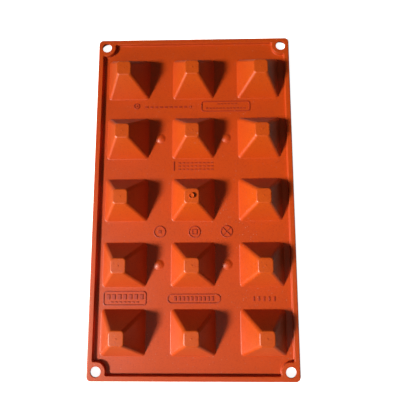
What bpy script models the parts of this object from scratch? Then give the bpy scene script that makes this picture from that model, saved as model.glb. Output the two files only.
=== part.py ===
"""A flexible silicone casting mould with fifteen truncated-pyramid cavities, lying on its open face.

The mould is one moulding of silicone. It is modelled here as the features that a maker would
name: a flat deck, four rim bars round it, an eyelet in each corner and a thin-walled cup for each
cavity. Each is a solid of its own, parted from its neighbours by a hairline.

Frame: metres, +Z up. The origin is the middle of the open face, which lies at z = 0. The cups
stand up from it with their closed tips at the top, +Y runs along the long side towards the
back, and +X runs to the right.
"""

from math import asin, atan2, cos, degrees, hypot, pi, radians, sin

import bmesh
import bpy
from mathutils import Matrix

# Overall sizes
MOULD_LENGTH = 0.300
MOULD_WIDTH = 0.175
CORNER_RADIUS = 0.0038

# Deck and rim
DECK_THICKNESS = 0.0022
RIM_HEIGHT = 0.0052
RIM_WIDTH = 0.0044
RIM_DRAFT = 0.0011  # how much wider the rim is where it meets the deck

# Cavities: the sizes of the casting that comes out
ROWS = 5
COLUMNS = 3
CAVITY_MOUTH = 0.0360
CAVITY_FLOOR = 0.0104
CAVITY_DEPTH = 0.0220
CAVITY_CORNER_RADIUS = 0.0005

# Cups: the silicone round each cavity
CUP_WALL = 0.0017
CUP_FLOOR = 0.0020
TIP_CHAMFER = 0.0005
SIDE_LAND = 0.0034  # deck between an outer cup and the foot of the side rim, at the open face
END_LAND = 0.0017  # deck between an end cup and the foot of an eyelet's boss, along the mould

# Corner eyelets
EYELET_INSET = 0.0076  # from both outer edges to the middle of the hole
EYELET_HOLE_RADIUS = 0.0042
EYELET_BOSS_RADIUS = 0.0079
EYELET_LAND = 0.0006  # how much of the rim stays with the eyelet past its boss

# Low round nubs on the deck between the columns
NUB_RADIUS = 0.0041
NUB_HEIGHT = 0.0013

# The dished stub that the filling gate leaves on the tip of the middle cup
GATE_RADIUS = 0.0022
GATE_TAPER = 0.0002
GATE_HEIGHT = 0.0018
GATE_LIP = 0.0005
GATE_DISH_DEPTH = 0.0008

PARTING_GAP = 0.0003  # hairline between two features
OVERRUN = 0.0020  # how far a cutter passes the faces that it cuts

# Facets
CORNER_STEPS = 3
BOSS_STEPS = 12
HOLE_SIDES = 32
NUB_SIDES = 24
NUB_RINGS = 9
SMOOTHING_ANGLE = radians(40)

TERRACOTTA = (0.58, 0.055, 0.008, 1.0)
SATIN = 0.45

# What follows from the sizes above
CUP_HEIGHT = CAVITY_DEPTH + CUP_FLOOR
CAVITY_SLOPE = (CAVITY_MOUTH - CAVITY_FLOOR) / 2 / CAVITY_DEPTH  # sideways for each unit of height
SLANT = hypot(1, CAVITY_SLOPE)  # turns a distance square to the wall into a level one
CUP_CORNER_RADIUS = CAVITY_CORNER_RADIUS + CUP_WALL
RIM_FOOT = RIM_WIDTH + RIM_DRAFT
BOSS_FOOT_RADIUS = EYELET_BOSS_RADIUS + RIM_DRAFT
EYELET_REACH = EYELET_INSET + BOSS_FOOT_RADIUS + EYELET_LAND


def cavity_half(z):
    """Half the cavity's width at height z above the open face."""
    return CAVITY_MOUTH / 2 - CAVITY_SLOPE * z


def cup_half(z):
    """Half the cup's outer width at height z."""
    return cavity_half(z) + CUP_WALL * SLANT


def column_x(column):
    """The middle of a column, counted from 1 at the left."""
    outermost = MOULD_WIDTH / 2 - RIM_FOOT - SIDE_LAND - cup_half(0)
    return outermost * (2 * (column - 1) / (COLUMNS - 1) - 1)


def row_y(row):
    """The middle of a row, counted from 1 at the back."""
    outermost = MOULD_LENGTH / 2 - EYELET_INSET - BOSS_FOOT_RADIUS - END_LAND - cup_half(0)
    return outermost * (1 - 2 * (row - 1) / (ROWS - 1))


def cup_places():
    return [(row, column) for row in range(1, ROWS + 1) for column in range(1, COLUMNS + 1)]


def eyelet_places():
    """For each corner: its name, the middle of its hole, and its quarter turns from the front left."""
    x = MOULD_WIDTH / 2 - EYELET_INSET
    y = MOULD_LENGTH / 2 - EYELET_INSET
    return [("front_left", -x, -y, 0), ("front_right", x, -y, 1), ("back_right", x, y, 2), ("back_left", -x, y, 3)]


def clear_scene():
    for old in list(bpy.data.objects):
        bpy.data.objects.remove(old)


def silicone():
    """The one material of the whole mould: pigmented silicone with a satin face."""
    material = bpy.data.materials.new("silicone")
    material.use_nodes = True
    shader = material.node_tree.nodes["Principled BSDF"]
    shader.inputs["Base Color"].default_value = TERRACOTTA
    shader.inputs["Roughness"].default_value = SATIN
    shader.inputs["Metallic"].default_value = 0.0
    return material


def arc(centre, radius, start, end, steps):
    """Points on an arc in plan, both ends included. The angles are in degrees."""
    turns = [radians(start + (end - start) * i / steps) for i in range(steps + 1)]
    return [(centre[0] + radius * cos(t), centre[1] + radius * sin(t)) for t in turns]


def level(outline, z):
    """An outline in plan, lifted to height z."""
    return [(x, y, z) for x, y in outline]


def rounded_square(half, radius, z):
    """A level ring of points round the origin."""
    inner = half - radius
    ring = []
    for quarter, (side_x, side_y) in enumerate([(1, 1), (-1, 1), (-1, -1), (1, -1)]):
        centre = (side_x * inner, side_y * inner)
        ring += arc(centre, radius, 90 * quarter, 90 * quarter + 90, CORNER_STEPS)
    return level(ring, z)


def circle_facing(ring, radius, z):
    """A level circle with a point straight inside each point of a ring."""
    turns = [atan2(y, x) for x, y, _ in ring]
    return [(radius * cos(t), radius * sin(t), z) for t in turns]


def add_loft(bm, rings):
    """Adds a closed solid: a skin stretched from ring to ring, point to point, and capped at both ends."""
    loops = [[bm.verts.new(point) for point in ring] for ring in rings]
    bm.faces.new(loops[0])
    bm.faces.new(loops[-1])
    for loop, following in zip(loops, loops[1:]):
        sides = zip(loop, loop[1:] + loop[:1], following[1:] + following[:1], following)
        for side in sides:
            bm.faces.new(side)


def add_drum(bm, radius, x, y, top):
    """Adds an upright cylinder that passes both faces of a plate from z = 0 to its top."""
    middle = Matrix.Translation((x, y, top / 2))
    depth = top + 2 * OVERRUN
    bmesh.ops.create_cone(
        bm, cap_ends=True, segments=HOLE_SIDES, radius1=radius, radius2=radius, depth=depth, matrix=middle
    )


def finish_mesh(bm, name):
    """Turns the faces outwards and makes the mesh, smooth where its facets only stand for a curve."""
    bmesh.ops.recalc_face_normals(bm, faces=bm.faces[:])
    mesh = bpy.data.meshes.new(name)
    bm.to_mesh(mesh)
    bm.free()
    mesh.shade_smooth()
    mesh.set_sharp_from_angle(angle=SMOOTHING_ANGLE)
    return mesh


def loft_mesh(name, rings):
    bm = bmesh.new()
    add_loft(bm, rings)
    return finish_mesh(bm, name)


def place(name, mesh, location=(0, 0, 0), quarter_turns=0):
    """Puts a mesh in the scene as an object of its own."""
    placed = bpy.data.objects.new(name, mesh)
    placed.location = location
    placed.rotation_euler.z = quarter_turns * pi / 2
    bpy.context.scene.collection.objects.link(placed)
    return placed


def place_cutter(name, mesh):
    """Puts a mesh in the scene that only shapes others."""
    placed = place(name, mesh)
    placed.hide_render = True
    placed.display_type = "WIRE"
    return placed


def combine(target, operation, tool):
    modifier = target.modifiers.new(operation.lower(), "BOOLEAN")
    modifier.operation = operation
    modifier.solver = "EXACT"
    modifier.object = tool


def gate_rings(tip_ring):
    """The gate's stub, from the floor of its dish, over its lip and down to the tip's face."""
    top = CUP_HEIGHT + GATE_HEIGHT
    outer = GATE_RADIUS - GATE_TAPER
    return [
        circle_facing(tip_ring, outer - 2 * GATE_LIP, top - GATE_DISH_DEPTH),
        circle_facing(tip_ring, outer - GATE_LIP, top),
        circle_facing(tip_ring, outer, top),
        circle_facing(tip_ring, GATE_RADIUS, CUP_HEIGHT),
    ]


def cup_rings(has_gate):
    """A cup's skin: from the tip down its outside, across the lip and up into the cavity."""
    shoulder = CUP_HEIGHT - TIP_CHAMFER
    tip = rounded_square(cup_half(CUP_HEIGHT) - TIP_CHAMFER, CUP_CORNER_RADIUS, CUP_HEIGHT)
    outside = [rounded_square(cup_half(z), CUP_CORNER_RADIUS, z) for z in (shoulder, 0)]
    inside = [rounded_square(cavity_half(z), CAVITY_CORNER_RADIUS, z) for z in (0, CAVITY_DEPTH)]
    return (gate_rings(tip) if has_gate else []) + [tip] + outside + inside


def make_cups(material):
    """A cup for each cavity. Only the middle one has the gate's stub."""
    middle = ((ROWS + 1) // 2, (COLUMNS + 1) // 2)
    meshes = {has_gate: loft_mesh("cup", cup_rings(has_gate)) for has_gate in (False, True)}
    for mesh in meshes.values():
        mesh.materials.append(material)
    for row, column in cup_places():
        mesh = meshes[(row, column) == middle]
        place(f"cavity_cup_{row}_{column}", mesh, (column_x(column), row_y(row), 0))


def eyelet_outline(width, radius):
    """An eyelet in plan round its hole, at the front left: the corner, two stubs of rim and the boss."""
    edge = -EYELET_INSET
    reach = EYELET_REACH + edge
    inner = width + edge
    corner = edge + CORNER_RADIUS
    start = degrees(asin(inner / radius))
    outer_corner = arc((corner, corner), CORNER_RADIUS, 180, 270, CORNER_STEPS)
    boss = arc((0, 0), radius, start, 90 - start, BOSS_STEPS)
    return outer_corner + [(reach, edge), (reach, inner)] + boss + [(inner, reach), (edge, reach)]


def make_eyelets(material):
    """The four corners of the rim, each with a boss round a hole for hanging the mould."""
    foot = eyelet_outline(RIM_FOOT, BOSS_FOOT_RADIUS)
    face = eyelet_outline(RIM_WIDTH, EYELET_BOSS_RADIUS)
    rings = [level(foot, 0), level(foot, DECK_THICKNESS), level(face, RIM_HEIGHT)]
    mesh = loft_mesh("eyelet", rings)
    mesh.materials.append(material)

    holes = bmesh.new()
    for _, x, y, _ in eyelet_places():
        add_drum(holes, EYELET_HOLE_RADIUS, x, y, RIM_HEIGHT)
    drill = place_cutter("eyelet_drill", finish_mesh(holes, "eyelet_drill"))
    for corner, x, y, quarter_turns in eyelet_places():
        eyelet = place(f"corner_eyelet_{corner}", mesh, (x, y, 0), quarter_turns)
        combine(eyelet, "DIFFERENCE", drill)


def bar_rings(length):
    """A bar of the rim along Y, seen from its outer face at x = 0, with its foot towards +X."""
    outline = [(0, 0), (RIM_FOOT, 0), (RIM_FOOT, DECK_THICKNESS), (RIM_WIDTH, RIM_HEIGHT), (0, RIM_HEIGHT)]
    return [[(x, y, z) for x, z in outline] for y in (-length / 2, length / 2)]


def make_rim(material):
    """The four straight bars of the rim, each between two eyelets."""
    side = loft_mesh("rim_side", bar_rings(MOULD_LENGTH - 2 * (EYELET_REACH + PARTING_GAP)))
    end = loft_mesh("rim_end", bar_rings(MOULD_WIDTH - 2 * (EYELET_REACH + PARTING_GAP)))
    for mesh in (side, end):
        mesh.materials.append(material)
    place("rim_left", side, (-MOULD_WIDTH / 2, 0, 0), 0)
    place("rim_front", end, (0, -MOULD_LENGTH / 2, 0), 1)
    place("rim_right", side, (MOULD_WIDTH / 2, 0, 0), 2)
    place("rim_back", end, (0, MOULD_LENGTH / 2, 0), 3)


def plate_mesh():
    """The deck before anything is cut: a plain plate inside the rim's foot."""
    bm = bmesh.new()
    inside = 2 * (RIM_FOOT + PARTING_GAP)
    size = Matrix.Diagonal((MOULD_WIDTH - inside, MOULD_LENGTH - inside, DECK_THICKNESS, 1))
    bmesh.ops.create_cube(bm, size=1, matrix=Matrix.Translation((0, 0, DECK_THICKNESS / 2)) @ size)
    return finish_mesh(bm, "deck")


def nubs_mesh():
    """Flattened balls centred on the deck's face, between the columns of the second row from each end."""
    bm = bmesh.new()
    size = Matrix.Diagonal((NUB_RADIUS, NUB_RADIUS, NUB_HEIGHT, 1))
    for row in (2, ROWS - 1):
        for column in range(1, COLUMNS):
            x = (column_x(column) + column_x(column + 1)) / 2
            middle = Matrix.Translation((x, row_y(row), DECK_THICKNESS))
            bmesh.ops.create_uvsphere(
                bm, u_segments=NUB_SIDES, v_segments=NUB_RINGS, radius=1, matrix=middle @ size
            )
    return finish_mesh(bm, "nubs")


def rooms_mesh():
    """What the deck makes way for: the cups and the bosses, each with the parting gap round it."""
    bm = bmesh.new()
    radius = CUP_CORNER_RADIUS + PARTING_GAP
    rings = [rounded_square(cup_half(z) + PARTING_GAP * SLANT, radius, z) for z in (-OVERRUN, CUP_HEIGHT)]
    for row, column in cup_places():
        x, y = column_x(column), row_y(row)
        add_loft(bm, [[(px + x, py + y, pz) for px, py, pz in ring] for ring in rings])
    for _, x, y, _ in eyelet_places():
        add_drum(bm, BOSS_FOOT_RADIUS + PARTING_GAP, x, y, DECK_THICKNESS)
    return finish_mesh(bm, "rooms")


def make_deck(material):
    """The flat sheet inside the rim, with its nubs, and a hole for each cup."""
    mesh = plate_mesh()
    mesh.materials.append(material)
    deck = place("deck_sheet", mesh)
    combine(deck, "UNION", place_cutter("nubs", nubs_mesh()))
    combine(deck, "DIFFERENCE", place_cutter("rooms", rooms_mesh()))


def main():
    clear_scene()
    material = silicone()
    make_deck(material)
    make_rim(material)
    make_eyelets(material)
    make_cups(material)


main()
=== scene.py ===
# %% [markdown]
# # A silicone casting mould, modelled for its looks
#
# The mould is one moulding of terracotta silicone, lying on its open face. Fifteen hollow pyramids
# stand up from a thin deck, and a thicker rim with a hole in each corner runs round it. The packed
# model gives the places and sizes. Here each feature is modelled again with soft edges and fillets,
# as pieces that meet on flat stretches of deck, so that no seam shows between them.

from math import atan, cos, degrees, pi, radians, sin, tan

import bmesh
import bpy
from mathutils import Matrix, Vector


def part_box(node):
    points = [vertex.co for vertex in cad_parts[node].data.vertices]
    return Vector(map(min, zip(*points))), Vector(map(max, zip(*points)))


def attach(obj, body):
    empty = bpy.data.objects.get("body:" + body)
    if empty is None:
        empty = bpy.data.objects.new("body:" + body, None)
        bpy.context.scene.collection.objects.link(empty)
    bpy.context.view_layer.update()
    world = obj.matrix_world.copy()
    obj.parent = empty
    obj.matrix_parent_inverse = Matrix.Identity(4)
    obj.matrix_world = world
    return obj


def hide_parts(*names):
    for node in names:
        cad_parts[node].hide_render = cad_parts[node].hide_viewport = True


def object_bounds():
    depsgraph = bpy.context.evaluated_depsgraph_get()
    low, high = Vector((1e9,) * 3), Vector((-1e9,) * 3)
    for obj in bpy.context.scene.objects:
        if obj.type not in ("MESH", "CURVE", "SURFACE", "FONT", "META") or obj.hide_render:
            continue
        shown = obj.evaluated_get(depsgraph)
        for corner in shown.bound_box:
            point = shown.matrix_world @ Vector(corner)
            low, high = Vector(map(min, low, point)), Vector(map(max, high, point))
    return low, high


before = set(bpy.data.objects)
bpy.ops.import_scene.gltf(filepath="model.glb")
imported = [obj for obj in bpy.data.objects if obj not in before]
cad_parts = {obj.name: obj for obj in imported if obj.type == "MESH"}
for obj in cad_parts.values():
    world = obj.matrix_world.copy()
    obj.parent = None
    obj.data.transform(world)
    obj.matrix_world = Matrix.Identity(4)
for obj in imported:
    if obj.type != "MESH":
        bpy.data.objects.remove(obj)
cad_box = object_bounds()
print("CAD box:", cad_box)

# %% [markdown]
# ## Sizes
#
# Everything is in metres. The frame's boxes give the outline, the height of the rim, where each cup
# stands, its height and its width at the open face. What a box can't tell is named here: the deck's
# thickness, the width of the rim and of a tip, and the places of the holes. The small radii follow
# where each edge is made, because a flexible mould has no sharp edge anywhere: the steel tool that it
# is cast in is milled with round cutters.

# %% Sizes from the frame
high = Vector(cad_box[1])
cup_low, cup_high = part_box("cavity_cup_1_1")

HALF_WIDTH = high.x
HALF_LENGTH = high.y
RIM_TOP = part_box("rim_left")[1].z
CUP_TOP = cup_high.z
OPEN_FACE_HALF = (cup_high.x - cup_low.x) / 2
print(f"sheet {2 * HALF_WIDTH:.3f} by {2 * HALF_LENGTH:.3f} m")
print(f"rim {RIM_TOP:.4f} m high, cups {CUP_TOP:.4f} m high")

# %% Sizes that the frame's boxes don't show
MM = 0.001
DECK_TOP = 2.2 * MM
RIM_FACE = 4.4 * MM
RIM_DRAFT = 0.15 * MM
TIP_HALF = 6.0 * MM
CAVITY_TOP = 22.0 * MM
MOUTH_HALF = 18.0 * MM
FLOOR_HALF = 5.2 * MM
HOLE_RADIUS = 4.2 * MM
HOLE_INSET = 7.6 * MM
BOSS_RADIUS = 7.9 * MM
CORNER_RADIUS = 3.8 * MM
SEAM_LAND = 0.4 * MM  # flat deck that stays with a cup or a wall past its fillet
OVERRUN = 1.0 * MM  # how far a cutter or a loose edge is pulled past the face that it works on
TINY = 0.01 * MM  # places closer than this count as the same

WALL_SLOPE = (OPEN_FACE_HALF - TIP_HALF) / CUP_TOP
FOOT_HALF = OPEN_FACE_HALF - WALL_SLOPE * DECK_TOP
WALL_LEAN = atan(WALL_SLOPE)
print(f"a cup is {2 * FOOT_HALF / MM:.1f} mm wide at the deck")
print(f"its walls lean {degrees(WALL_LEAN):.1f} degrees")

# %% [markdown]
# ## The camera
#
# The camera looks down on the mould from a little in front of its middle, about 0.3 m above it, with
# a lens that is slightly wide. It comes first, so that every later step can be judged in its view.

# %% Camera
CAMERA_PLACE = (0.0184, -0.0443, 0.2920)
CAMERA_TURN = (radians(7.29), radians(1.13), radians(-0.21))
CAMERA_LENS = 28.97
SENSOR_WIDTH = 36
NEAREST_SEEN = 0.01

bpy.ops.object.select_all(action="DESELECT")
bpy.ops.object.camera_add(location=CAMERA_PLACE, rotation=CAMERA_TURN)
camera = bpy.context.object
camera.name = "studio_camera"
camera.data.sensor_width = SENSOR_WIDTH
camera.data.lens = CAMERA_LENS
camera.data.clip_start = NEAREST_SEEN
bpy.context.scene.camera = camera
print("camera at", CAMERA_PLACE)

# %% [markdown]
# ## Working as by hand
#
# A few helpers stand in for the mouse. One adds a box between two corners, one selects faces, edges
# or corners by a test on their place, and one extrudes what is selected and scales it, which is how
# most of the walls below are drawn out of a single loop of edges. The rest apply a modifier, cut one
# piece with another, copy a piece and shade it.


# %% Adding and selecting pieces
def add_block(name, low_corner, high_corner):
    """Adds a box between two corners and leaves it active, alone in the selection."""
    low_corner, high_corner = Vector(low_corner), Vector(high_corner)
    bpy.ops.object.select_all(action="DESELECT")
    bpy.ops.mesh.primitive_cube_add(size=1, location=(low_corner + high_corner) / 2)
    block = bpy.context.object
    block.name = name
    block.scale = high_corner - low_corner
    bpy.ops.object.transform_apply(location=True, rotation=True, scale=True)
    return block


def activate(*pieces):
    """Selects these pieces and nothing else. The first is the active one."""
    bpy.ops.object.select_all(action="DESELECT")
    for piece in pieces:
        piece.select_set(True)
    bpy.context.view_layer.objects.active = pieces[0]


print("adding and selecting: add_block, activate")


# %% Selecting inside a piece
FACES_UP = 0.5  # a normal that rises more than this faces upwards


def edit(on):
    """Goes into edit mode, or back to object mode."""
    bpy.ops.object.mode_set(mode="EDIT" if on else "OBJECT")


def pick(kind, test):
    """In edit mode, selects the faces, edges or corners that pass a test, and counts them."""
    mesh = bpy.context.object.data
    bpy.ops.mesh.select_mode(type=kind)
    bpy.ops.mesh.select_all(action="DESELECT")
    bm = bmesh.from_edit_mesh(mesh)
    parts = {"VERT": bm.verts, "EDGE": bm.edges, "FACE": bm.faces}[kind]
    found = [part for part in parts if test(part)]
    for part in found:
        part.select_set(True)
    bm.select_flush_mode()
    bmesh.update_edit_mesh(mesh)
    return len(found)


def at_height(part, z):
    """Whether every corner of a face or an edge lies at height z."""
    return all(abs(corner.co.z - z) < TINY for corner in part.verts)


print("selecting inside a piece: edit, pick, at_height")


# %% Drawing out a wall
def draw_out(rise, scale):
    """Extrudes the selection, lifts it and scales it in plan about the middle of the mould."""
    bpy.ops.mesh.extrude_region_move(TRANSFORM_OT_translate={"value": (0, 0, rise)})
    bpy.ops.transform.resize(value=(scale, scale, 1), center_override=(0, 0, 0))


def turn(radius, start, end, steps):
    """The moves of a rounded bend, each as (sideways, height). Angles are from straight down."""
    angles = [start + (end - start) * i / steps for i in range(steps + 1)]
    pairs = zip(angles, angles[1:])
    return [(radius * abs(cos(a) - cos(b)), radius * abs(sin(a) - sin(b))) for a, b in pairs]


print("a quarter bend of 1 mm in 2 moves:", [f"{x:.2f}, {z:.2f}" for x, z in turn(1, 0, pi / 2, 2)])


# %% Modifiers, cuts, copies and shading
SMOOTH_BELOW = radians(35)


def apply_modifier(kind, **settings):
    """Adds a modifier to the active piece, sets it and applies it."""
    bpy.ops.object.modifier_add(type=kind)
    modifier = bpy.context.object.modifiers[-1]
    for name, value in settings.items():
        setattr(modifier, name, value)
    bpy.ops.object.modifier_apply(modifier=modifier.name)


def cut_away(piece, cutter):
    """Takes the cutter's shape out of the piece and removes the cutter."""
    activate(piece)
    apply_modifier("BOOLEAN", operation="DIFFERENCE", solver="EXACT", object=cutter)
    bpy.data.objects.remove(cutter)


def copy_to(piece, name, shift):
    """A copy with a mesh of its own, moved, with its place put into the mesh."""
    activate(piece)
    bpy.ops.object.duplicate(linked=False)
    copied = bpy.context.object
    copied.name = name
    bpy.ops.transform.translate(value=shift)
    bpy.ops.object.transform_apply(location=True, rotation=True, scale=True)
    return copied


def soften(piece):
    """Smooth shading over the rounded edges, with the flat faces kept flat."""
    activate(piece)
    edit(True)
    bpy.ops.mesh.select_all(action="SELECT")
    bpy.ops.mesh.normals_make_consistent(inside=False)
    edit(False)
    bpy.ops.object.shade_smooth_by_angle(angle=SMOOTH_BELOW)
    apply_modifier("WEIGHTED_NORMAL", keep_sharp=True)


pieces = {}  # each finished piece and the nodes that it stands for
print(f"edges sharper than {degrees(SMOOTH_BELOW):.0f} degrees stay crisp")

# %% [markdown]
# ## One cup
#
# Each cavity is a hollow truncated pyramid. Outside it has softly rounded hips, a rounded tip and a
# small fillet where it rises from the deck. Inside it is crisper, because that is what shapes the
# casting. Booleans could hollow it, but the fillets would then be hard to place, so each skin is
# drawn as by hand: a box whose top face is scaled down, bevelled along its hips and round its tip,
# and then drawn outwards from its open foot. An upright band bridges the two skins into one wall, a
# little way out from the foot, where the cup will meet the deck.

# %% A pyramid skin
HIP_STEPS = 6
BEND_STEPS = 4


def add_pyramid_skin(name, foot_half, foot_z, tip_half, tip_z, hip, tip_edge, foot_radius, land):
    """A pyramid without a floor. Its foot bends out into the plane at foot_z, with a flat land."""
    lean = atan((foot_half - tip_half) / (tip_z - foot_z))
    reach = foot_radius * tan((pi / 2 - lean) / 2)
    start_half = foot_half - reach * sin(lean)
    start_z = foot_z + reach * cos(lean)
    skin = add_block(name, (-start_half, -start_half, start_z), (start_half, start_half, tip_z))
    edit(True)
    pick("FACE", lambda face: face.normal.z > FACES_UP)
    taper = tip_half / start_half
    bpy.ops.transform.resize(value=(taper, taper, 1), center_override=(0, 0, 0))
    pick("EDGE", lambda edge: not at_height(edge, start_z) and not at_height(edge, tip_z))
    bpy.ops.mesh.bevel(offset=hip, segments=HIP_STEPS, affect="EDGES")
    pick("EDGE", lambda edge: at_height(edge, tip_z))
    bpy.ops.mesh.bevel(offset=tip_edge, segments=BEND_STEPS, affect="EDGES")
    pick("FACE", lambda face: at_height(face, start_z))
    bpy.ops.mesh.delete(type="ONLY_FACE")
    pick("EDGE", lambda edge: edge.is_boundary)
    half = start_half
    for sideways, drop in turn(foot_radius, lean, pi / 2, BEND_STEPS) + [(land, 0)]:
        draw_out(-drop, (half + sideways) / half)
        half += sideways
    edit(False)
    return skin


print("hips bevelled in", HIP_STEPS, "steps, other bends in", BEND_STEPS)

# %% The outside and inside of a cup
HIP = 2.5 * MM
TIP_EDGE = 0.8 * MM
FOOT_RADIUS = 0.8 * MM
CAVITY_HIP = 0.6 * MM
CAVITY_FLOOR_EDGE = 0.6 * MM
MOUTH_RADIUS = 0.4 * MM

outside = add_pyramid_skin(
    "cup", FOOT_HALF, DECK_TOP, TIP_HALF, CUP_TOP, HIP, TIP_EDGE, FOOT_RADIUS, SEAM_LAND
)
inside = add_pyramid_skin(
    "cavity", MOUTH_HALF, 0, FLOOR_HALF, CAVITY_TOP, CAVITY_HIP, CAVITY_FLOOR_EDGE, MOUTH_RADIUS,
    SEAM_LAND,
)
print("outside skin", len(outside.data.vertices), "corners; inside skin", len(inside.data.vertices))

# %% The two skins become one wall
PIP_HALF = 0.6 * MM
PIP_HEIGHT = 0.3 * MM
PIP_TAPER = 0.7

activate(outside, inside)
bpy.ops.object.join()
cup = outside
edit(True)
pick("EDGE", lambda edge: edge.is_boundary and at_height(edge, DECK_TOP))

# Two loops at one height can be bridged askew, so the outer one goes lower for the bridge.
draw_out(-DECK_TOP - OVERRUN, 1)
pick("EDGE", lambda edge: edge.is_boundary)
bpy.ops.mesh.bridge_edge_loops()
pick("VERT", lambda corner: corner.co.z < -OVERRUN / 2)
bpy.ops.transform.translate(value=(0, 0, OVERRUN))

# The steel tool leaves a pip in the middle of each tip.
pick("FACE", lambda face: at_height(face, CUP_TOP))
draw_out(0, PIP_HALF / (TIP_HALF - TIP_EDGE))
draw_out(PIP_HEIGHT, PIP_TAPER)
edit(False)
soften(cup)
cell_half = max(corner.co.x for corner in cup.data.vertices)
print(f"one cup: {len(cup.data.polygons)} faces, {2 * cell_half / MM:.2f} mm wide with its land")

# %% [markdown]
# ## What the deck makes room for
#
# The deck needs a hole with exactly the outline of a cup's land. The outline is taken from the cup
# itself: a copy keeps only the upright band round its foot, which is stretched past both faces of
# the deck and closed. Nothing can then drift apart if a size changes.

# %% A cutter with the outline of a cup
UPRIGHT = 0.01  # an upright face's normal rises less than this


def on_foot_band(face):
    """Whether a face belongs to the upright band round a cup's foot."""
    return abs(face.normal.z) < UPRIGHT and max(c.co.z for c in face.verts) < DECK_TOP + TINY


cup_cutter = copy_to(cup, "cup_cutter", (0, 0, 0))
edit(True)
pick("FACE", lambda face: not on_foot_band(face))
bpy.ops.mesh.delete(type="FACE")
for z, move in ((DECK_TOP, OVERRUN), (0, -OVERRUN)):
    pick("EDGE", lambda edge: at_height(edge, z))
    bpy.ops.transform.translate(value=(0, 0, move))
bpy.ops.mesh.select_all(action="SELECT")
bpy.ops.mesh.fill_holes(sides=0)
bpy.ops.mesh.select_all(action="SELECT")
bpy.ops.mesh.normals_make_consistent(inside=False)
edit(False)
print("cup cutter:", len(cup_cutter.data.polygons), "faces")

# %% Fifteen cups and fifteen cutters
cup_nodes = sorted(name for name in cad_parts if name.startswith("cavity_cup"))
cup_cutters = []
for node in cup_nodes:
    node_low, node_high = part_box(node)
    middle = (node_low + node_high) / 2
    shift = (middle.x, middle.y, 0)
    pieces[copy_to(cup, node.replace("cavity_cup", "cup"), shift)] = [node]
    cup_cutters.append(copy_to(cup_cutter, node.replace("cavity_cup", "cutter"), shift))
bpy.data.objects.remove(cup)
bpy.data.objects.remove(cup_cutter)
print(len(cup_nodes), "cups")

# %% [markdown]
# ## The rim, with its corner eyelets
#
# The rim is a raised band with a drafted inner wall, and in each corner it swells into a round boss
# with a hole. The wall has the same section all the way round, so the recess inside it is modelled
# as a solid of its own: an outline of straight sides and arcs, inset again and again while it goes
# down, first round the rim's edge, then along the wall, then round the fillet to the deck. That
# solid is then cut out of a plain slab. Extruding a section along the outline would do the same,
# but its corners would pinch where the boss meets the straight rim. No primitive has this outline, so
# its points are worked out as arcs and handed to a new mesh.
#
# The holes are straight only in a short lip at the rim's face and open out below it, so that the
# lip stays soft and what lies under the mould shows through nearly the whole hole.

# %% The recess's outline
BOSS_STEPS = 20
NOOK_STEPS = 6
EDGE_RADIUS = 0.4 * MM
WALL_FOOT_RADIUS = 0.5 * MM
NOOK_RADIUS = 1.95 * MM  # between the boss and the straight rim, at the rim's face

wall_lean = atan(RIM_DRAFT / (RIM_TOP - DECK_TOP))
edge_reach = EDGE_RADIUS * tan((pi / 2 - wall_lean) / 2)
face_width = RIM_FACE - edge_reach
boss_face = BOSS_RADIUS - edge_reach


def arc(middle, radius, start, end, steps):
    """Points along an arc in plan."""
    angles = [start + (end - start) * i / steps for i in range(steps + 1)]
    return [(middle[0] + radius * cos(a), middle[1] + radius * sin(a)) for a in angles]


def corner_outline():
    """The recess's edge past one boss, from one straight side to the next, from the outer corner."""
    offset = face_width + NOOK_RADIUS - HOLE_INSET
    along = ((boss_face + NOOK_RADIUS) ** 2 - offset**2) ** 0.5
    nook = (HOLE_INSET + along, face_width + NOOK_RADIUS)
    touch = atan(offset / along)
    first = arc(nook, NOOK_RADIUS, -pi / 2, -pi + touch, NOOK_STEPS)
    boss = arc((HOLE_INSET, HOLE_INSET), boss_face, touch, pi / 2 - touch, BOSS_STEPS)
    second = [(y, x) for x, y in reversed(first)]
    return first + boss[1:-1] + second


def recess_outline():
    """The whole outline, anticlockwise."""
    corner = corner_outline()
    outline = []
    for side_x, side_y in ((-1, -1), (1, -1), (1, 1), (-1, 1)):
        points = [(side_x * (HALF_WIDTH - x), side_y * (HALF_LENGTH - y)) for x, y in corner]
        outline += points if side_x * side_y < 0 else points[::-1]
    return outline


print(len(recess_outline()), "points round the recess")

# %% The recess as a solid
outline = recess_outline()
mesh = bpy.data.meshes.new("recess")
mesh.from_pydata([(x, y, RIM_TOP) for x, y in outline], [], [tuple(range(len(outline)))])
recess = bpy.data.objects.new("recess", mesh)
bpy.context.scene.collection.objects.link(recess)
activate(recess)
edit(True)
bpy.ops.mesh.select_all(action="SELECT")
bpy.ops.mesh.extrude_region_move(TRANSFORM_OT_translate={"value": (0, 0, OVERRUN)})
bpy.ops.mesh.select_all(action="SELECT")
bpy.ops.mesh.normals_make_consistent(inside=False)
pick("FACE", lambda face: at_height(face, RIM_TOP))
bends = (EDGE_RADIUS + WALL_FOOT_RADIUS) * (1 - sin(wall_lean))
straight = (RIM_TOP - DECK_TOP - bends) / cos(wall_lean)
wall = turn(EDGE_RADIUS, pi / 2, wall_lean, BEND_STEPS)
wall += [(straight * sin(wall_lean), straight * cos(wall_lean))]
wall += turn(WALL_FOOT_RADIUS, wall_lean, pi / 2, BEND_STEPS)
for sideways, drop in wall:
    bpy.ops.mesh.inset(thickness=sideways, depth=drop)
edit(False)
wall_reach = sum(sideways for sideways, drop in wall)
print(f"the wall runs {wall_reach / MM:.2f} mm inwards from the rim's face to the deck")

# %% A cutter for the corner holes
HOLE_LIP = 1.2 * MM
HOLE_FLARE = 6.3 * MM
HOLE_SIDES = 64


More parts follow.
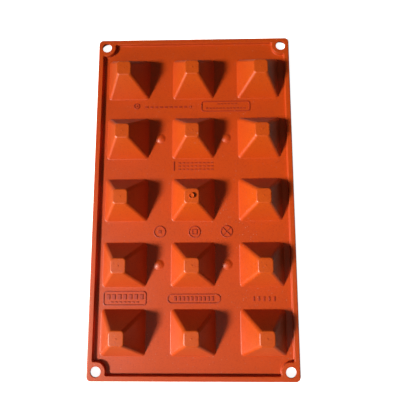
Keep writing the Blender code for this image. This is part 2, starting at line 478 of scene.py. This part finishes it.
def nearest_hole(place):
    """The middle of the corner hole on the same side of the mould as a place."""
    x = (HALF_WIDTH - HOLE_INSET) * (1 if place.x > 0 else -1)
    y = (HALF_LENGTH - HOLE_INSET) * (1 if place.y > 0 else -1)
    return Vector((x, y))


def add_hole_cutter(hole):
    """A straight hole that flares below its lip."""
    bpy.ops.object.select_all(action="DESELECT")
    start = (0, 0, RIM_TOP + OVERRUN)
    bpy.ops.mesh.primitive_circle_add(
        vertices=HOLE_SIDES, radius=HOLE_RADIUS, fill_type="NGON", location=start
    )
    cutter = bpy.context.object
    edit(True)
    bpy.ops.mesh.select_all(action="SELECT")
    draw_out(-OVERRUN - HOLE_LIP, 1)
    draw_out(HOLE_LIP - RIM_TOP, HOLE_FLARE / HOLE_RADIUS)
    draw_out(-OVERRUN, 1)
    bpy.ops.mesh.select_all(action="SELECT")
    bpy.ops.mesh.normals_make_consistent(inside=False)
    bpy.ops.transform.translate(value=(hole.x, hole.y, 0))
    edit(False)
    bpy.ops.object.transform_apply(location=True, rotation=True, scale=True)
    return cutter


print(f"holes {2 * HOLE_RADIUS / MM:.1f} mm wide, opening to {2 * HOLE_FLARE / MM:.1f} mm underneath")

# %% The slab with its recess and holes
OUTER_EDGE = 1.0 * MM
UNDER_EDGE = 0.3 * MM
HOLE_EDGE = 0.3 * MM
CORNER_STEPS = 10
UNDER_STEPS = 2
HOLE_EDGE_STEPS = 3


def on_hole(corner):
    """Whether a corner point lies on the wall of a corner hole."""
    return abs((Vector(corner.co.xy) - nearest_hole(corner.co)).length - HOLE_RADIUS) < TINY


slab = add_block("slab", (-HALF_WIDTH, -HALF_LENGTH, 0), (HALF_WIDTH, HALF_LENGTH, RIM_TOP))
edit(True)
pick("EDGE", lambda edge: not at_height(edge, 0) and not at_height(edge, RIM_TOP))
bpy.ops.mesh.bevel(offset=CORNER_RADIUS, segments=CORNER_STEPS, affect="EDGES")
pick("EDGE", lambda edge: at_height(edge, RIM_TOP))
bpy.ops.mesh.bevel(offset=OUTER_EDGE, segments=BEND_STEPS, affect="EDGES")
pick("EDGE", lambda edge: at_height(edge, 0))
bpy.ops.mesh.bevel(offset=UNDER_EDGE, segments=UNDER_STEPS, affect="EDGES")
edit(False)
cut_away(slab, recess)
for side_x in (-1, 1):
    for side_y in (-1, 1):
        cut_away(slab, add_hole_cutter(nearest_hole(Vector((side_x, side_y)))))
activate(slab)
edit(True)
pick("EDGE", lambda edge: at_height(edge, RIM_TOP) and all(on_hole(corner) for corner in edge.verts))
bpy.ops.mesh.bevel(offset=HOLE_EDGE, segments=HOLE_EDGE_STEPS, affect="EDGES")
edit(False)
print("slab:", len(slab.data.polygons), "faces")

# %% [markdown]
# ## Cutting the slab into its features
#
# The rim's four bars and four eyelets are sawn out of the slab with flat cuts, and each cut is
# closed. The cuts run straight down through flat stretches, so the pieces meet face to face.

# %% Bars and eyelets
CORNER_CELL = 17.5 * MM  # the square that an eyelet takes up
BAR_REACH = face_width + wall_reach + SEAM_LAND  # from a bar's outer side to where it meets the deck


def saw(piece, place, keep):
    """Cuts a piece upright through a place, closes it and keeps the side that keep points to."""
    activate(piece)
    edit(True)
    bpy.ops.mesh.select_all(action="SELECT")
    bpy.ops.mesh.bisect(plane_co=place, plane_no=keep, use_fill=True, clear_inner=True)
    edit(False)


def saw_out(name, cuts, node):
    """A copy of the slab, cut down to one feature."""
    piece = copy_to(slab, name, (0, 0, 0))
    for place, keep in cuts:
        saw(piece, place, keep)
    soften(piece)
    pieces[piece] = [node]
    print(f"{name}: {len(piece.data.polygons)} faces")


cell_x = HALF_WIDTH - CORNER_CELL
cell_y = HALF_LENGTH - CORNER_CELL
for side, sign in (("left", -1), ("right", 1)):
    inner = ((sign * (HALF_WIDTH - BAR_REACH), 0, 0), (sign, 0, 0))
    ends = [((0, end * cell_y, 0), (0, -end, 0)) for end in (-1, 1)]
    saw_out(f"rim_bar_{side}", [inner] + ends, f"rim_{side}")
for side, sign in (("front", -1), ("back", 1)):
    inner = ((0, sign * (HALF_LENGTH - BAR_REACH), 0), (0, sign, 0))
    ends = [((end * cell_x, 0, 0), (-end, 0, 0)) for end in (-1, 1)]
    saw_out(f"rim_bar_{side}", [inner] + ends, f"rim_{side}")
for end, sign_y in (("front", -1), ("back", 1)):
    for side, sign_x in (("left", -1), ("right", 1)):
        across = ((sign_x * cell_x, 0, 0), (sign_x, 0, 0))
        along = ((0, sign_y * cell_y, 0), (0, sign_y, 0))
        saw_out(f"eyelet_{end}_{side}", [across, along], f"corner_eyelet_{end}_{side}")
bpy.data.objects.remove(slab)

# %% [markdown]
# ## The deck
#
# What is left between the rim and the cups is a flat sheet with fifteen holes. It is a plain block
# with the corner cells and the outlines of the cups cut out of it.

# %% Deck
deck_x = HALF_WIDTH - BAR_REACH
deck_y = HALF_LENGTH - BAR_REACH
deck = add_block("deck", (-deck_x, -deck_y, 0), (deck_x, deck_y, DECK_TOP))
for sign_x in (-1, 1):
    for sign_y in (-1, 1):
        left, right = sorted((sign_x * cell_x, sign_x * HALF_WIDTH))
        front, back = sorted((sign_y * cell_y, sign_y * HALF_LENGTH))
        cell = add_block("cell", (left, front, -OVERRUN), (right, back, DECK_TOP + OVERRUN))
        cut_away(deck, cell)
for cutter in cup_cutters:
    cut_away(deck, cutter)
soften(deck)
pieces[deck] = ["deck_sheet"]
print("deck:", len(deck.data.polygons), "faces")

# %% [markdown]
# ## Nubs and the gate stub
#
# Four low round nubs stand between the columns, and the tip of the middle cup keeps the dished stub
# of the gate that the silicone was fed through. Both are turned shapes, so each starts as a disc and
# is drawn up ring by ring along its section.


# %% Turned shapes
def add_turned(name, section, steps):
    """Draws a disc up through rings given as (radius, height). The last ring closes the top."""
    radius, height = section[0]
    bpy.ops.object.select_all(action="DESELECT")
    start = (0, 0, height)
    bpy.ops.mesh.primitive_circle_add(vertices=steps, radius=radius, fill_type="NGON", location=start)
    turned = bpy.context.object
    turned.name = name
    bpy.ops.object.transform_apply(location=True, rotation=True, scale=True)
    edit(True)
    bpy.ops.mesh.select_all(action="SELECT")
    for next_radius, next_height in section[1:]:
        draw_out(next_height - height, next_radius / radius)
        radius, height = next_radius, next_height
    edit(False)
    soften(turned)
    return turned


SINK = 0.5 * MM  # how far a raised detail reaches down into the deck or tip that it stands on
print(f"turned shapes start {SINK / MM:.1f} mm inside what they stand on")

# %% Nub
NUB_RADIUS = 4.1 * MM
NUB_HEIGHT = 1.3 * MM
NUB_FILLET = 0.5 * MM
NUB_TOE = 0.15 * MM
NUB_TOE_RISE = 0.08 * MM
NUB_RINGS = 8
NUB_SIDES = 48

dome_radius = (NUB_RADIUS**2 + NUB_HEIGHT**2) / (2 * NUB_HEIGHT)
dome_middle = DECK_TOP + NUB_HEIGHT - dome_radius
half_angle = atan(NUB_RADIUS / (dome_radius - NUB_HEIGHT))
nub_section = [(NUB_RADIUS + NUB_FILLET, DECK_TOP - SINK), (NUB_RADIUS + NUB_FILLET, DECK_TOP + TINY)]
nub_section += [(NUB_RADIUS + NUB_TOE, DECK_TOP + NUB_TOE_RISE)]
for ring in range(1, NUB_RINGS + 1):
    angle = half_angle * (1 - ring / (NUB_RINGS + 1))
    nub_section.append((dome_radius * sin(angle), dome_middle + dome_radius * cos(angle)))
nub_section += [(PIP_HALF, DECK_TOP + NUB_HEIGHT)]
nub_section += [(PIP_HALF * PIP_TAPER, DECK_TOP + NUB_HEIGHT + PIP_HEIGHT / 2)]
nub = add_turned("nub", nub_section, NUB_SIDES)
print("nub:", len(nub_section), "rings,", len(nub.data.polygons), "faces")

# %% Gate stub
GATE_SIDES = 40
GATE_RADIUS = 2.2 * MM
GATE_LIP = 0.5 * MM
GATE_DISH = 0.8 * MM
GATE_EDGE = 0.15 * MM
gate_top = high.z
dish_radius = GATE_RADIUS - GATE_LIP
gate_section = [
    (GATE_RADIUS, CUP_TOP - SINK),
    (GATE_RADIUS, gate_top - GATE_EDGE),
    (GATE_RADIUS - GATE_EDGE, gate_top),
    (dish_radius + GATE_EDGE, gate_top),
    (dish_radius, gate_top - GATE_EDGE),
    (dish_radius - GATE_EDGE, gate_top - GATE_DISH + 2 * GATE_EDGE),
    (dish_radius - 3 * GATE_EDGE, gate_top - GATE_DISH),
]
gate = add_turned("gate_stub", gate_section, GATE_SIDES)
pieces[gate] = ["cavity_cup_3_2"]
print(f"gate stub {2 * GATE_RADIUS / MM:.1f} mm wide, {(gate_top - CUP_TOP) / MM:.1f} mm high")

# %% Nubs in their places
between_columns = (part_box("cavity_cup_3_3")[0].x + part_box("cavity_cup_3_2")[1].x) / 2
second_row = sum(corner.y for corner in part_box("cavity_cup_2_2")) / 2
for side, x in (("left", -between_columns), ("right", between_columns)):
    for end, y in (("front", -second_row), ("back", second_row)):
        pieces[copy_to(nub, f"nub_{end}_{side}", (x, y, 0))] = ["deck_sheet"]
bpy.data.objects.remove(nub)
print(f"nubs {between_columns / MM:.1f} mm across and {second_row / MM:.1f} mm along from the middle")

# %% [markdown]
# ## Marks in low relief
#
# Moulds like this carry raised plates and rings between the cups. Here they hold nothing but plain
# dashes, a dot, a square and a cross. Each mark is a low solid that starts inside the deck and stands
# half a millimetre proud. A plate's outline is a block whose top is inset by the width of the
# line and pushed back down below the deck, so only the line is left standing. The layout of the
# marks is given in millimetres from the middle of the mould.

# %% A line that stands above the deck
RELIEF = 0.5 * MM
LINE = 0.9 * MM
RELIEF_EDGE = 0.1 * MM
RELIEF_STEPS = 2
PLATE_CORNER_STEPS = 8
RING_SIDES = 48
relief_low, relief_high = DECK_TOP - SINK, DECK_TOP + RELIEF


def is_plate_top(face):
    """Whether a face is the whole top of a plate or ring, and not a facet of its edge."""
    return at_height(face, relief_high) and face.normal.z > FACES_UP and len(face.verts) > 4


def leave_line():
    """In edit mode, leaves only a line of the active solid's top standing above the deck."""
    pick("EDGE", lambda edge: at_height(edge, relief_high))
    bpy.ops.mesh.bevel(offset=RELIEF_EDGE, segments=RELIEF_STEPS, affect="EDGES")
    pick("FACE", is_plate_top)
    bpy.ops.mesh.inset(thickness=LINE - 2 * RELIEF_EDGE, depth=0)
    bpy.ops.mesh.inset(thickness=RELIEF_EDGE, depth=-RELIEF_EDGE)
    bpy.ops.transform.translate(value=(0, 0, RELIEF_EDGE - RELIEF - SINK / 2))


print(f"lines {LINE / MM:.1f} mm wide stand {RELIEF / MM:.1f} mm proud")


# %% Plates and rings in outline
def add_plate_line(name, x_low, y_low, x_high, y_high, corner):
    """The raised outline of a plate with rounded corners. Sizes are in millimetres."""
    low_corner = (x_low * MM, y_low * MM, relief_low)
    plate = add_block(name, low_corner, (x_high * MM, y_high * MM, relief_high))
    edit(True)
    pick("EDGE", lambda edge: not at_height(edge, relief_low) and not at_height(edge, relief_high))
    bpy.ops.mesh.bevel(offset=corner * MM, segments=PLATE_CORNER_STEPS, affect="EDGES")
    leave_line()
    edit(False)
    return plate


def add_ring_line(name, x, y, radius):
    """A raised ring. Sizes are in millimetres."""
    bpy.ops.object.select_all(action="DESELECT")
    bpy.ops.mesh.primitive_cylinder_add(
        vertices=RING_SIDES,
        radius=radius * MM,
        depth=relief_high - relief_low,
        location=(x * MM, y * MM, (relief_low + relief_high) / 2),
    )
    ring = bpy.context.object
    ring.name = name
    bpy.ops.object.transform_apply(location=True, rotation=True, scale=True)
    edit(True)
    leave_line()
    edit(False)
    return ring


print("outlines: add_plate_line, add_ring_line")


# %% Dashes
def add_dash(name, x, y, length, width, turned=0):
    """A raised bar with softened edges, turned in plan. Sizes are in millimetres."""
    half = Vector((length * MM / 2, width * MM / 2, 0))
    dash = add_block(name, -half + Vector((0, 0, relief_low)), half + Vector((0, 0, relief_high)))
    edit(True)
    pick("EDGE", lambda edge: not at_height(edge, relief_low))
    bpy.ops.mesh.bevel(offset=RELIEF_EDGE, segments=RELIEF_STEPS, affect="EDGES")
    edit(False)
    activate(dash)
    if turned:
        bpy.ops.transform.rotate(value=turned, orient_axis="Z", center_override=(0, 0, 0))
    bpy.ops.transform.translate(value=(x * MM, y * MM, 0))
    bpy.ops.object.transform_apply(location=True, rotation=True, scale=True)
    return dash


def dash_row(x_low, x_high, y, length, gap, width):
    """A row of dashes between two places, the first one modelled and the others copied."""
    count = int((x_high - x_low + gap) / (length + gap))
    start = (x_low + x_high - count * (length + gap) + gap) / 2 + length / 2
    first = add_dash("dash", start, y, length, width)
    return [first] + [copy_to(first, "dash", (i * (length + gap) * MM, 0, 0)) for i in range(1, count)]


def join_marks(name, marks):
    """Joins marks into one piece of the deck."""
    activate(*marks)
    bpy.ops.object.join()
    joined = bpy.context.object
    joined.name = name
    soften(joined)
    pieces[joined] = ["deck_sheet"]
    print(f"{name}: {len(marks)} marks")


print("dashes: add_dash, dash_row, join_marks")

# %% Marks in the gaps between the rows
join_marks(
    "marks_plate_front",
    [add_plate_line("plate", -76.5, -90.1, -39.8, -78.1, 2.4)]
    + dash_row(-74.0, -42.3, -82.8, 3.0, 1.7, 4.2)
    + dash_row(-70.5, -45.8, -87.2, 2.2, 1.4, 0.9),
)
join_marks(
    "marks_capsule_front",
    [add_plate_line("capsule", -22.2, -88.5, 23.2, -80.4, 4.0)]
    + dash_row(-16.5, 17.5, -84.4, 2.0, 1.5, 3.6),
)
join_marks(
    "marks_plate_back",
    [add_plate_line("plate", 6.8, 80.8, 51.2, 90.8, 2.6)]
    + dash_row(21.0, 39.5, 88.0, 1.9, 1.2, 0.9)
    + dash_row(10.0, 48.0, 83.9, 1.9, 1.2, 1.1),
)
join_marks(
    "marks_row_back",
    [add_ring_line("ring", -51.8, 86.6, 2.8), add_dash("dot", -51.8, 86.6, 1.2, 1.2)]
    + dash_row(-44.4, -1.4, 85.5, 2.6, 1.8, 1.6),
)
join_marks(
    "marks_rows_middle",
    [add_dash("bar", -17.3, 30.4, 0.9, 8.4)]
    + dash_row(-13.5, 17.4, 33.2, 2.1, 1.5, 0.9)
    + dash_row(-13.5, 17.4, 30.3, 2.1, 1.5, 0.9)
    + dash_row(-13.5, 17.4, 27.4, 2.1, 1.5, 0.9),
)
join_marks("marks_row_front", dash_row(50.4, 68.9, -84.6, 1.3, 3.0, 3.6))

# %% Three rings
RING_RADIUS = 5.3
STROKE = 8.6
DIAGONAL = radians(45)

join_marks(
    "marks_rings",
    [
        add_ring_line("ring", -29.2, -27.9, RING_RADIUS),
        add_dash("dot", -29.2, -27.9, 2.6, 2.6),
        add_ring_line("ring", 1.0, -28.1, RING_RADIUS),
        add_plate_line("square", -1.4, -30.5, 3.4, -25.7, 0.6),
        add_ring_line("ring", 28.7, -27.8, RING_RADIUS),
        add_dash("stroke", 28.7, -27.8, STROKE, LINE / MM, DIAGONAL),
        add_dash("stroke", 28.7, -27.8, STROKE, LINE / MM, -DIAGONAL),
    ],
)

# %% [markdown]
# ## The silicone
#
# Platinum silicone filled with red oxide is opaque, satin and slightly oily to the touch. Four
# things break up its one colour: the tool's fine blasted grain, a slow mottling where the pigment
# isn't quite even, a paler and warmer tone up the cups to their glossier tips, which is painted light,
# and the pale specks of dust that silicone always draws. Each is a node group, so that it can be
# reused with other values. The raised marks get a darker copy of the silicone, which is painted shade
# along their lines.
#
# Patterns read Object coordinates in metres. Every piece sits at the origin, so they run on across
# the joints between pieces.


# %% Working with nodes
def new_group(name, inputs, outputs):
    """An empty node group: a Place and floats, as (name, value), go in, and floats come out."""
    group = bpy.data.node_groups.new(name, "ShaderNodeTree")
    group.interface.new_socket("Place", in_out="INPUT", socket_type="NodeSocketVector")
    for socket, value in inputs:
        made = group.interface.new_socket(socket, in_out="INPUT", socket_type="NodeSocketFloat")
        made.default_value = value
    for socket in outputs:
        group.interface.new_socket(socket, in_out="OUTPUT", socket_type="NodeSocketFloat")
    entry = group.nodes.new("NodeGroupInput")
    leave = group.nodes.new("NodeGroupOutput")
    return group, entry.outputs[: len(inputs) + 1], leave


def add_node(tree, kind, settings=None, **values):
    """A node with its settings, its values and its links. A value that is a socket is linked."""
    node = tree.nodes.new("ShaderNode" + kind)
    for name, value in (settings or {}).items():
        setattr(node, name, value)
    for name, value in values.items():
        socket = node.inputs[int(name[1:])] if name[0] == "_" else node.inputs[name.replace("_", " ")]
        if isinstance(value, bpy.types.NodeSocket):
            tree.links.new(value, socket)
        else:
            socket.default_value = value
    return node


def calc(tree, operation, first, second=0.0, third=0.0):
    """One step of arithmetic."""
    return add_node(tree, "Math", {"operation": operation}, _0=first, _1=second, _2=third).outputs[0]


def spread(tree, value, low_in, high_in, low_out, high_out):
    """Maps a value from one range to another, held at the ends."""
    ranges = {"_1": low_in, "_2": high_in, "_3": low_out, "_4": high_out}
    return add_node(tree, "MapRange", None, _0=value, **ranges).outputs[0]


def noise(tree, place, size, detail, **more):
    """A noise pattern. Its size is how many times it repeats in a metre."""
    return add_node(tree, "TexNoise", None, Vector=place, Scale=size, Detail=detail, **more).outputs[0]


print("nodes: new_group, add_node, calc, spread, noise")

# %% Grain
GRAIN_SIZE = 1200.0
GRAIN_PITS = 0.35
PIT_SPACING = 0.35  # how many pits there are for one grain, along a line
PIT_REACH = 0.35  # how far a pit's slope runs, as a share of the way to the next


def make_grain():
    """Blasted grain: a fine noise with a few deeper pits."""
    tree, entry, leave = new_group("blasted_grain", [("Size", GRAIN_SIZE), ("Pits", GRAIN_PITS)], ["Height"])
    place, size, pits = entry
    fine = noise(tree, place, size, 3.0, Roughness=0.6)
    pit_size = calc(tree, "MULTIPLY", size, PIT_SPACING)
    pit = add_node(tree, "TexVoronoi", None, Vector=place, Scale=pit_size)
    hollow = spread(tree, pit.outputs["Distance"], 0.0, PIT_REACH, 1.0, 0.0)
    depth = calc(tree, "MULTIPLY", hollow, pits)
    tree.links.new(calc(tree, "SUBTRACT", fine, depth), leave.inputs["Height"])
    return tree


grain_group = make_grain()
print(grain_group.name, "repeats every", 1000 / GRAIN_SIZE, "mm")

# %% Mottle
MOTTLE_SIZE = 55.0
CLOUD_SPACING = 0.22  # how many large clouds there are for one small one, along a line
SMALL_SHARE = 0.6
LARGE_SHARE = 0.4


def make_mottle():
    """Slow unevenness of the pigment, in two sizes."""
    tree, entry, leave = new_group("pigment_mottle", [("Size", MOTTLE_SIZE)], ["Tone"])
    place, size = entry
    small = noise(tree, place, size, 4.0, Roughness=0.55, Distortion=0.4)
    large = noise(tree, place, calc(tree, "MULTIPLY", size, CLOUD_SPACING), 2.0)
    small_part = calc(tree, "MULTIPLY", small, SMALL_SHARE)
    both = calc(tree, "ADD", small_part, calc(tree, "MULTIPLY", large, LARGE_SHARE))
    tree.links.new(spread(tree, both, 0.3, 0.7, 0.0, 1.0), leave.inputs["Tone"])
    return tree


mottle_group = make_mottle()
print(mottle_group.name, "repeats every", round(1000 / MOTTLE_SIZE), "mm")

# %% Dust
DUST_SIZE = 420.0
DUST_AMOUNT = 0.2
DRIFT_SIZE = 30.0
SPECK_EDGE = 1.8  # where a speck has faded out, as a multiple of its radius


def make_dust():
    """Scattered specks, each with a size of its own, thicker in some places than in others."""
    tree, entry, leave = new_group("settled_dust", [("Size", DUST_SIZE), ("Amount", DUST_AMOUNT)], ["Mask"])
    place, size, amount = entry
    speck = add_node(tree, "TexVoronoi", None, Vector=place, Scale=size)
    parts = add_node(tree, "SeparateColor", None, Color=speck.outputs["Color"])
    own_size = calc(tree, "MULTIPLY", parts.outputs[0], amount)
    reach = calc(tree, "MULTIPLY", own_size, noise(tree, place, DRIFT_SIZE, 2.0))
    edge = calc(tree, "MULTIPLY", reach, SPECK_EDGE)
    tree.links.new(spread(tree, speck.outputs["Distance"], reach, edge, 1.0, 0.0), leave.inputs["Mask"])
    return tree


dust_group = make_dust()
print(dust_group.name, "has a place for a speck every", round(1000 / DUST_SIZE, 1), "mm")


# %% Gloss and painted light towards the tips
def make_height_mask():
    """0 on the deck and rim, 1 at the tips: a mask for their gloss and for painted light."""
    tree, entry, leave = new_group("gloss_and_painted_light_above", [("From", 0.0), ("To", 0.01)], ["Mask"])
    place, start, end = entry
    parts = add_node(tree, "SeparateXYZ", None, Vector=place)
    tree.links.new(spread(tree, parts.outputs[2], start, end, 0.0, 1.0), leave.inputs["Mask"])
    return tree


height_group = make_height_mask()
print(height_group.name, "runs from the deck to the tips")

# %% Silicone's colours and depths
DECK_COLOUR = (0.48, 0.052, 0.0014, 1)
# Paler, warmer colour towards the cups' tips: painted light, for the light on the tips and the sheen on
# their sunlit faces.
PAINTED_LIGHT_TIP_COLOUR = (0.51, 0.074, 0.003, 1)
DEEP_COLOUR = (0.38, 0.035, 0.0014, 1)
# A darker colour for the raised marks: painted shade for the shadows along their lines.
PAINTED_SHADE_MARK_COLOUR = (0.30, 0.022, 0.005, 1)
DUST_COLOUR = (0.75, 0.38, 0.25, 1)
GRAIN_DEPTH = 0.09 * MM
DUST_DEPTH = 0.03 * MM
MOTTLE_TINT = 0.3
PIT_TINT = 0.65
DUST_TINT = 0.3
SATIN = 0.42
SATIN_MARKS = 0.5
POLISH_GLOSS = 0.04
DUST_DULLNESS = 0.25
SILICONE_IOR = 1.47
SHEEN = 0.06
SHEEN_SPREAD = 0.4
print(f"grain {GRAIN_DEPTH / MM:.2f} mm deep, roughness about {SATIN}")


# %% Silicone material
def blend_colours(tree, factor, first, second):
    """A colour between two, by a factor from 0 to 1."""
    return add_node(tree, "Mix", {"data_type": "RGBA"}, _0=factor, _6=first, _7=second).outputs[2]


def make_silicone(name, low_colour, roughness):
    """Terracotta silicone with a satin skin, in this colour at the deck."""
    material = bpy.data.materials.new(name)
    material.use_nodes = True
    tree = material.node_tree
    skin = tree.nodes["Principled BSDF"]
    place = add_node(tree, "TexCoord").outputs["Object"]

    def place_group(group, **values):
        return add_node(tree, "Group", {"node_tree": group}, Place=place, **values).outputs[0]

    mottle = place_group(mottle_group, Size=MOTTLE_SIZE)
    grain = place_group(grain_group, Size=GRAIN_SIZE, Pits=GRAIN_PITS)
    dust = place_group(dust_group, Size=DUST_SIZE, Amount=DUST_AMOUNT)
    gloss_and_painted_light = place_group(height_group, From=DECK_TOP, To=CUP_TOP)

    # Painted light: the colour grows paler and warmer from the deck up to the tips.
    colour_with_painted_light = blend_colours(tree, gloss_and_painted_light, low_colour, PAINTED_LIGHT_TIP_COLOUR)
    speckle = spread(tree, grain, 0.28, 0.52, PIT_TINT, 0.0)
    depth = calc(tree, "ADD", calc(tree, "MULTIPLY", mottle, MOTTLE_TINT), speckle)
    uneven = blend_colours(tree, depth, colour_with_painted_light, DEEP_COLOUR)
    dusty = blend_colours(tree, calc(tree, "MULTIPLY", dust, DUST_TINT), uneven, DUST_COLOUR)
    tree.links.new(dusty, skin.inputs["Base Color"])

    satin = spread(tree, mottle, 0.0, 1.0, roughness - 0.03, roughness + 0.05)
    sleeker = calc(tree, "SUBTRACT", satin, calc(tree, "MULTIPLY", gloss_and_painted_light, POLISH_GLOSS))
    rough = calc(tree, "ADD", sleeker, calc(tree, "MULTIPLY", dust, DUST_DULLNESS))
    tree.links.new(rough, skin.inputs["Roughness"])

    grain_height = calc(tree, "MULTIPLY", grain, GRAIN_DEPTH)
    height = calc(tree, "ADD", grain_height, calc(tree, "MULTIPLY", dust, DUST_DEPTH))
    bump = add_node(tree, "Bump", None, Height=height, Strength=1.0, Distance=1.0)
    tree.links.new(bump.outputs[0], skin.inputs["Normal"])
    skin.inputs["IOR"].default_value = SILICONE_IOR
    skin.inputs["Sheen Weight"].default_value = SHEEN
    skin.inputs["Sheen Roughness"].default_value = SHEEN_SPREAD
    return material


silicone = make_silicone("terracotta_silicone", DECK_COLOUR, SATIN)
# The marks' darker copy of the silicone is painted shade along their raised lines.
mark_silicone_painted_shade = make_silicone("terracotta_silicone_marks_painted_shade", PAINTED_SHADE_MARK_COLOUR, SATIN_MARKS)
print(silicone.name, "has", len(silicone.node_tree.nodes), "nodes")

# %% Every piece gets its silicone
# The marks take that darker copy of the silicone, which is painted shade.
for piece, nodes in pieces.items():
    piece.data.materials.clear()
    piece.data.materials.append(mark_silicone_painted_shade if piece.name.startswith("marks") else silicone)
    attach(piece, "root")
    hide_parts(*nodes)
print(len(pieces), "pieces of", silicone.name)

# %% [markdown]
# ## Floor and light
#
# The mould lies on a white light table, which keeps the floor pale even in the mould's own shade and
# shows as white through its corner holes. One soft sun from the left gives the long shadows of the
# cups, and a low window on the same side softens them. A weak panel in front opens up the faces that
# look towards it, and a faint even sky keeps the shaded faces from going black. The camera sees that
# sky as nearly white, like a studio's backdrop, so the table runs into it without a horizon.

# %% Floor
FLOOR_SIZE = 8.0
FLOOR_DROP = 0.02 * MM  # keeps the floor from touching the open face
FLOOR_GLOW = 0.93
OPAL_COLOUR = (0.92, 0.92, 0.92, 1)
CARD_COLOUR = (0.25, 0.24, 0.23, 1)
WHITE = (1, 1, 1, 1)


def make_table():
    """Opal white to look at. The light that it throws back on the mould is that of grey card."""
    material = bpy.data.materials.new("opal_white")
    material.use_nodes = True
    tree = material.node_tree
    opal = tree.nodes["Principled BSDF"]
    opal.inputs["Base Color"].default_value = OPAL_COLOUR
    opal.inputs["Emission Color"].default_value = WHITE
    opal.inputs["Emission Strength"].default_value = FLOOR_GLOW
    place = add_node(tree, "TexCoord").outputs["Object"]
    cloud = noise(tree, place, 3.0, 3.0)
    tree.links.new(spread(tree, cloud, 0.3, 0.7, 0.5, 0.6), opal.inputs["Roughness"])
    card = add_node(tree, "BsdfDiffuse", None, Color=CARD_COLOUR).outputs[0]
    seen = add_node(tree, "LightPath").outputs["Is Camera Ray"]
    mixed = add_node(tree, "MixShader", None, _0=seen, _1=card, _2=opal.outputs[0]).outputs[0]
    tree.links.new(mixed, tree.nodes["Material Output"].inputs["Surface"])
    return material


bpy.ops.object.select_all(action="DESELECT")
bpy.ops.mesh.primitive_plane_add(size=FLOOR_SIZE, location=(0, 0, -FLOOR_DROP))
floor = bpy.context.object
floor.name = "light_table"
bpy.ops.object.transform_apply(location=True, rotation=True, scale=True)
floor.data.materials.append(make_table())
print("light table", FLOOR_SIZE, "m wide")

# %% Lights
SUN_PLACE = 4.0 * Vector((-0.715, -0.342, 0.611))
SUN_AIM = Vector((0.0, -0.04, 0))
SUN_POWER = 1780
SUN_RADIUS = 0.36
SUN_CONE = radians(12.5)
WINDOW_PLACE = Vector((-0.95, -0.70, 0.27))
WINDOW_SIZE = (0.7, 0.5)
WINDOW_POWER = 5.0
PANEL_PLACE = Vector((0, -0.60, 0.95))
PANEL_SIZE = 0.7
PANEL_POWER = 1.0
WARM = (1, 0.93, 0.84)


def add_light(name, kind, place, aim, power):
    """A warm light that points from its place at a point."""
    bpy.ops.object.light_add(type=kind, location=place)
    light = bpy.context.object
    light.name = name
    light.rotation_euler = (place - aim).to_track_quat("Z", "Y").to_euler()
    light.data.energy = power
    light.data.color = WARM
    return light.data


middle_of_mould = Vector((0, 0, 0))
sun = add_light("soft_sun", "SPOT", SUN_PLACE, SUN_AIM, SUN_POWER)
sun.shadow_soft_size = SUN_RADIUS
sun.spot_size = SUN_CONE
sun.spot_blend = 1
window = add_light("low_window", "AREA", WINDOW_PLACE, middle_of_mould, WINDOW_POWER)
window.shape = "RECTANGLE"
window.size, window.size_y = WINDOW_SIZE
panel = add_light("front_panel", "AREA", PANEL_PLACE, middle_of_mould, PANEL_POWER)
panel.size = PANEL_SIZE
sun_height = degrees(atan(SUN_PLACE.z / SUN_PLACE.xy.length))
print(f"the sun stands {sun_height:.0f} degrees above the table")

# %% Sky
SKY_STRENGTH = 0.05
BACKDROP_STRENGTH = 0.976

world = bpy.data.worlds.new("studio_sky")
bpy.context.scene.world = world
world.use_nodes = True
sky = world.node_tree
sky.nodes.clear()
seen = add_node(sky, "LightPath").outputs["Is Camera Ray"]
faint = add_node(sky, "Background", None, Color=(*WARM, 1), Strength=SKY_STRENGTH).outputs[0]
backdrop = add_node(sky, "Background", None, Color=WHITE, Strength=BACKDROP_STRENGTH).outputs[0]
mixed = add_node(sky, "MixShader", None, _0=seen, _1=faint, _2=backdrop).outputs[0]
sky.links.new(mixed, add_node(sky, "OutputWorld").inputs["Surface"])
bpy.context.scene.view_settings.view_transform = "Standard"
print("sky of strength", SKY_STRENGTH)

# %% [markdown]
#
# Every piece should be a closed solid whose faces point outwards, or it will shade and export badly.

# %% Closed solids
closed = 0
for piece in pieces:
    bm = bmesh.new()
    bm.from_mesh(piece.data)
    open_edges = sum(not edge.is_manifold for edge in bm.edges)
    if open_edges or bm.calc_volume() <= 0:
        print("not a closed solid:", piece.name, open_edges, "open edges")
    else:
        closed += 1
    bm.free()
print(closed, "of", len(pieces), "pieces are closed solids")
